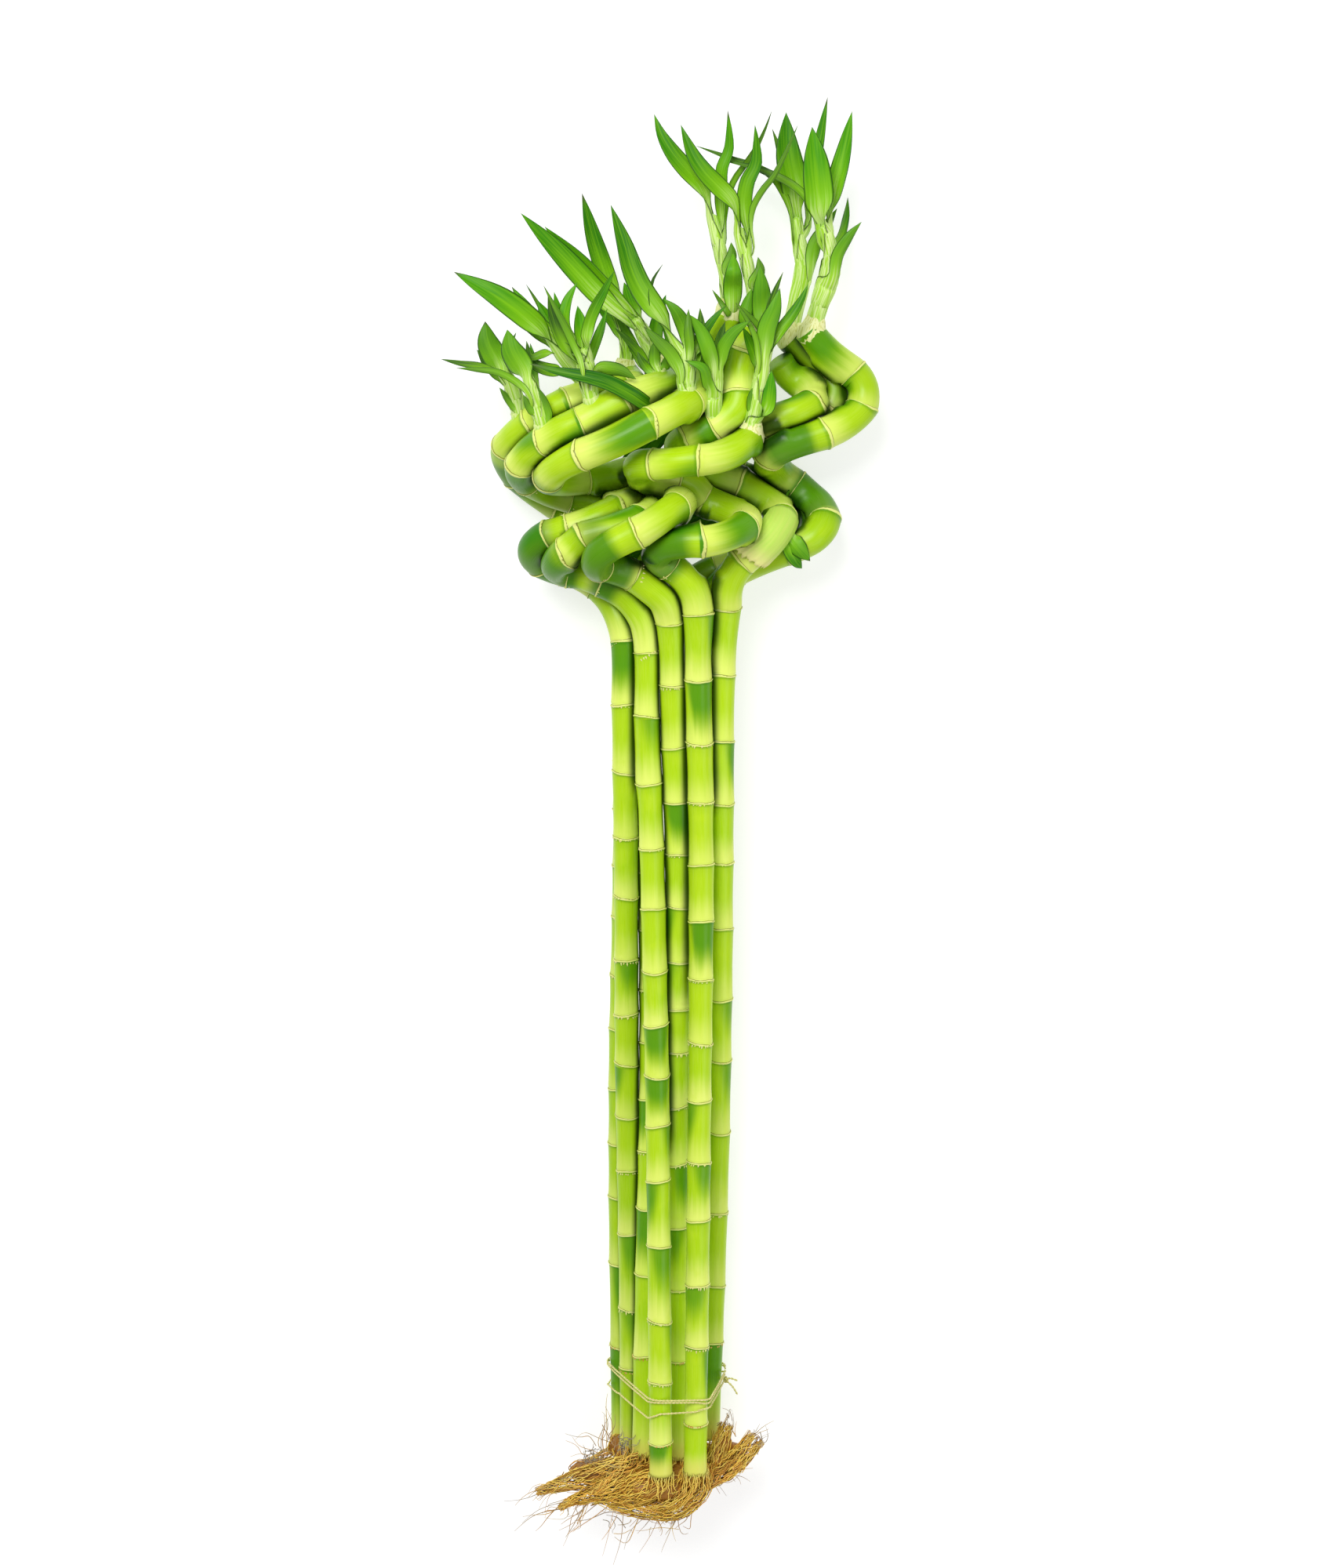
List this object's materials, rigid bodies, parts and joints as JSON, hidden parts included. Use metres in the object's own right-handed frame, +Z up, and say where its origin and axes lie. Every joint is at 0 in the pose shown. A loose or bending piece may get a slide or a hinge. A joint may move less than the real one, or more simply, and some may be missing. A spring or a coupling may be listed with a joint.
{
  "type": "lucky bamboo bundle",
  "caption": "Tied bundle of tall green lucky bamboo canes with spiral tops, leafy shoots and bare roots, lying on its back.",
  "frame": {"origin": "centre of the bounding box in X and Y, at the height of the surface the bundle lies on", "axes": "+Y along the canes from roots to leaf tips, +X to the right of the bundle's front, +Z up, out of its front"},
  "size_m": [0.2276, 0.7882, 0.0882],
  "materials": {
    "cane": "smooth waxy green skin with paler node rings",
    "leaf": "satin green leaf with fine parallel veins",
    "root": "matt tangled orange-brown roots",
    "string": "thin pale twine",
    "sheath": "thin dry leaf sheath, torn at its edge"
  },
  "bodies": {
    "root": {"stem_1": "cane", "stem_2": "cane", "stem_3": "cane", "stem_4": "cane", "stem_5": "cane", "stem_6": "cane", "stem_7": "cane", "stem_8": "cane", "shoot_1": "leaf", "shoot_2": "leaf", "shoot_3": "leaf", "shoot_4": "leaf", "shoot_5": "leaf", "shoot_6": "leaf", "shoot_7": "leaf", "shoot_8": "leaf", "shoot_9": "leaf", "shoot_10": "leaf", "shoot_11": "leaf", "shoot_12": "leaf", "shoot_13": "leaf", "shoot_14": "leaf", "shoot_15": "leaf", "root_mat": "root", "tie_string": "string", "dry_sheath": "sheath"}
  },
  "joints": []
}
